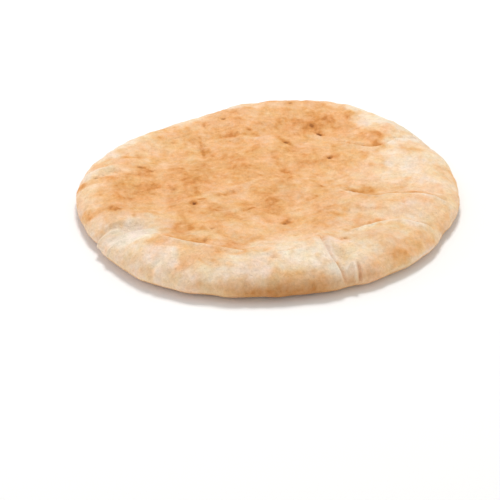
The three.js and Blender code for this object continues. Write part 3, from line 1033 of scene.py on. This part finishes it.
# Writes the attributes toast and burn, which the material reads. Both carry painted shade besides the
# crust's own colour: burn holds the burnt pits and also the shade spots, the shaded low edge and seams.
def paintToast(crust, foldToastShadeAndHighlight, burn, fields):
    s = pita["toast"]
    places, normals = readMesh(crust.data)
    flat = places[:, :2]
    up = smoothStep(normals[:, 2], *s["topFacing"])
    out = np.hypot(flat[:, 0], flat[:, 1])
    skirt = np.zeros(len(places))
    for layer in s["skirts"]:
        away = np.hypot(flat[:, 0] - layer["x"], flat[:, 1] - layer["y"])
        low = smoothStep(-places[:, 2] - fields[1], -layer["from"], -layer["to"])
        skirt = np.maximum(skirt, layer["share"] * low * bell(away / layer["reach"]))
    skirt *= smoothStep(out, *s["skirtOut"])
    below = smoothStep(-normals[:, 2], *s["lowFacing"])
    under = smoothStep(-normals[:, 2], *pita["resting"])
    toast = s["side"] + (s["top"] - s["side"]) * up
    pull = s["ragged"][0] * fields[1] + s["ragged"][1] * fields[2]
    pull *= 1 - s["softRim"]["share"] * smoothStep(out, *s["softRim"]["out"])
    for x, y, halfLength, halfWidth, turn, mark, share in pita["toastMarks"]:
        distance = ovalDistance(flat, x, y, halfLength, halfWidth, turn) + pull
        toast += (mark - toast) * share * (1 - smoothStep(distance, *s["edge"]))
    # Faces turned down under the rim: real toast and painted shade.
    toast += (s["low"] - toast) * below
    # The low edge: toast, and painted shade in the burnt colour where the bread meets the table.
    toast += (s["skirt"] - toast) * skirt
    burn = np.maximum(burn, s["skirtShade"] * skirt)
    # Painted shade: these spots darken the crust with the burnt colour.
    for x, y, halfLength, halfWidth, turn, share in pita["dullSpots"]:
        burn = np.maximum(burn, share * bell(ovalDistance(flat, x, y, halfLength, halfWidth, turn)))
    toast += (s["under"] - toast) * under + foldToastShadeAndHighlight
    for name, values in {"toast": np.clip(toast, *s["range"]), "burn": np.clip(burn, 0, 1)}.items():
        attribute = crust.data.attributes.new(name, "FLOAT", "POINT")
        attribute.data.foreach_set("value", values.astype(np.float32))


paintToast(crust, foldToastShadeAndHighlight, burn, fields)
print("toasted areas painted")


pita["finish"] = {
    "ramp": [  # toast, and the crust's colour there
        (-0.2, (0.885, 0.765, 0.645)),
        (0.0, (0.875, 0.70, 0.553)),
        (0.25, (0.862, 0.614, 0.408)),
        (0.5, (0.838, 0.527, 0.302)),
        (0.75, (0.797, 0.436, 0.2)),
        (0.9, (0.745, 0.37, 0.143)),
        (1.0, (0.70, 0.315, 0.105)),
        (1.1, (0.62, 0.255, 0.07)),
    ],
    # colour of the burnt pits, also mixed in as painted shade
    "burntAndShadeColour": (0.19, 0.05, 0.006),
    "tints": [  # mm from spot to spot, and the two tints that the colour is multiplied by
        {"size": 10.0, "detail": 3.0, "tints": ((1.02, 0.985, 1.01), (0.985, 1.015, 0.9))},
        {"size": 6.0, "detail": 4.0, "tints": ((0.93, 0.93, 0.92), (1.05, 1.05, 1.06))},
        {"size": 1.6, "detail": 4.0, "tints": ((0.93, 0.93, 0.93), (1.055, 1.055, 1.055))},
        {"size": 0.8, "detail": 2.0, "tints": ((0.94, 0.94, 0.94), (1.05, 1.05, 1.05))},
    ],
    "mottles": [  # mm from spot to spot and how much toast each adds
        {"size": 8.0, "add": 0.45, "detail": 4.0},
        {"size": 3.0, "add": 0.2, "detail": 4.0},
        {"size": 1.0, "add": 0.05, "detail": 4.0},
    ],
    "mottleShare": (0.2, 1.1),  # of it on floury crust and on brown crust
    "tintSpan": (0.3, 0.7),  # noise below the first is one tint, and above the second the other
    "grains": [  # relief: mm from grain to grain, and height in mm
        {"size": 2.2, "height": 0.7, "detail": 3.0},
        {"size": 1.0, "height": 0.36, "detail": 3.0},
    ],
    "noiseRoughness": 0.6,
    "noiseStarts": {"mottles": 0.3, "tints": 5.0, "grains": 8.0},  # place of each list's first noise
    "noiseSteps": (1, 1.7, 0.6),  # how far that is along x, y and z
    "roughness": 0.82,
    "specular": 0.25,
}


def crustMaterial():
    f = pita["finish"]
    material = bpy.data.materials.new("toastedCrust")
    material.use_nodes = True
    tree = material.node_tree
    shader = tree.nodes["Principled BSDF"]
    shader.inputs["Roughness"].default_value = f["roughness"]
    shader.inputs["Specular IOR Level"].default_value = f["specular"]

    spot = tree.nodes.new("ShaderNodeTexCoord").outputs["Object"]

    # Noise of one layer of a list, each from a place of its own.
    def cloud(kind, i):
        layer = f[kind][i]
        start = f["noiseStarts"][kind] + i
        place = tree.nodes.new("ShaderNodeMapping")
        place.inputs["Location"].default_value = [start * step for step in f["noiseSteps"]]
        tree.links.new(spot, place.inputs["Vector"])
        texture = tree.nodes.new("ShaderNodeTexNoise")
        texture.inputs["Scale"].default_value = 1 / (layer["size"] * mm)
        texture.inputs["Detail"].default_value = layer["detail"]
        texture.inputs["Roughness"].default_value = f["noiseRoughness"]
        tree.links.new(place.outputs["Vector"], texture.inputs["Vector"])
        return texture.outputs[0]  # its value, not its colour

    # A value whose span from low to high is fitted to another.
    def fitted(value, span, onto, clamp=True):
        node = tree.nodes.new("ShaderNodeMapRange")
        node.clamp = clamp
        for name, number in zip(("From Min", "From Max", "To Min", "To Max"), (*span, *onto)):
            node.inputs[name].default_value = number
        tree.links.new(value, node.inputs["Value"])
        return node.outputs["Result"]

    def attribute(name):
        reader = tree.nodes.new("ShaderNodeAttribute")
        reader.attribute_name = name
        return reader.outputs["Fac"]

    toast = attribute("toast")
    share = fitted(toast, (0, 1), f["mottleShare"])
    for i, layer in enumerate(f["mottles"]):
        mottle = fitted(cloud("mottles", i), (0, 1), (-layer["add"], layer["add"]), clamp=False)
        total = tree.nodes.new("ShaderNodeMath")
        total.operation = "MULTIPLY_ADD"
        for socket, value in zip(total.inputs, (mottle, share, toast)):
            tree.links.new(value, socket)
        toast = total.outputs[0]

    lowest, highest = f["ramp"][0][0], f["ramp"][-1][0]
    ramp = tree.nodes.new("ShaderNodeValToRGB")
    stops = ramp.color_ramp.elements
    while len(stops) < len(f["ramp"]):
        stops.new(0.5)  # it gets its place below
    for stop, (place, colour) in zip(stops, f["ramp"]):
        stop.position = (place - lowest) / (highest - lowest)
        stop.color = (*colour, 1)
    tree.links.new(fitted(toast, (lowest, highest), (0, 1)), ramp.inputs["Fac"])

    colour = ramp.outputs["Color"]
    for i, layer in enumerate(f["tints"]):
        tint = tree.nodes.new("ShaderNodeMix")
        tint.data_type = "RGBA"
        for socket, value in zip(tint.inputs[6:8], layer["tints"]):  # the node's two colours
            socket.default_value = (*value, 1)
        tree.links.new(fitted(cloud("tints", i), f["tintSpan"], (0, 1)), tint.inputs["Factor"])
        tinting = tree.nodes.new("ShaderNodeVectorMath")
        tinting.operation = "MULTIPLY"
        tree.links.new(colour, tinting.inputs[0])
        tree.links.new(tint.outputs[2], tinting.inputs[1])  # 2 is its colour result
        colour = tinting.outputs["Vector"]

    # The burn attribute mixes in the burnt colour: burnt pits, and painted shade from the shade spots, the
    # low edge and the seams.
    burnAndShadeMix = tree.nodes.new("ShaderNodeMix")
    burnAndShadeMix.data_type = "RGBA"
    toasted, burnt = burnAndShadeMix.inputs[6:8]
    tree.links.new(attribute("burn"), burnAndShadeMix.inputs["Factor"])
    tree.links.new(colour, toasted)
    burnt.default_value = (*f["burntAndShadeColour"], 1)
    tree.links.new(burnAndShadeMix.outputs[2], shader.inputs["Base Color"])

    normal = None
    for i, grain in enumerate(f["grains"]):
        bump = tree.nodes.new("ShaderNodeBump")
        bump.inputs["Distance"].default_value = grain["height"] * mm
        bump.inputs["Strength"].default_value = 1.0
        tree.links.new(cloud("grains", i), bump.inputs["Height"])
        if normal:
            tree.links.new(normal, bump.inputs["Normal"])
        normal = bump.outputs["Normal"]
    tree.links.new(normal, shader.inputs["Normal"])
    return material


crust.data.materials.clear()
crust.data.materials.append(crustMaterial())
crust.data.polygons.foreach_set("use_smooth", [True] * len(crust.data.polygons))
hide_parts(pita["node"])
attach(crust, "root")
print("crust finished")
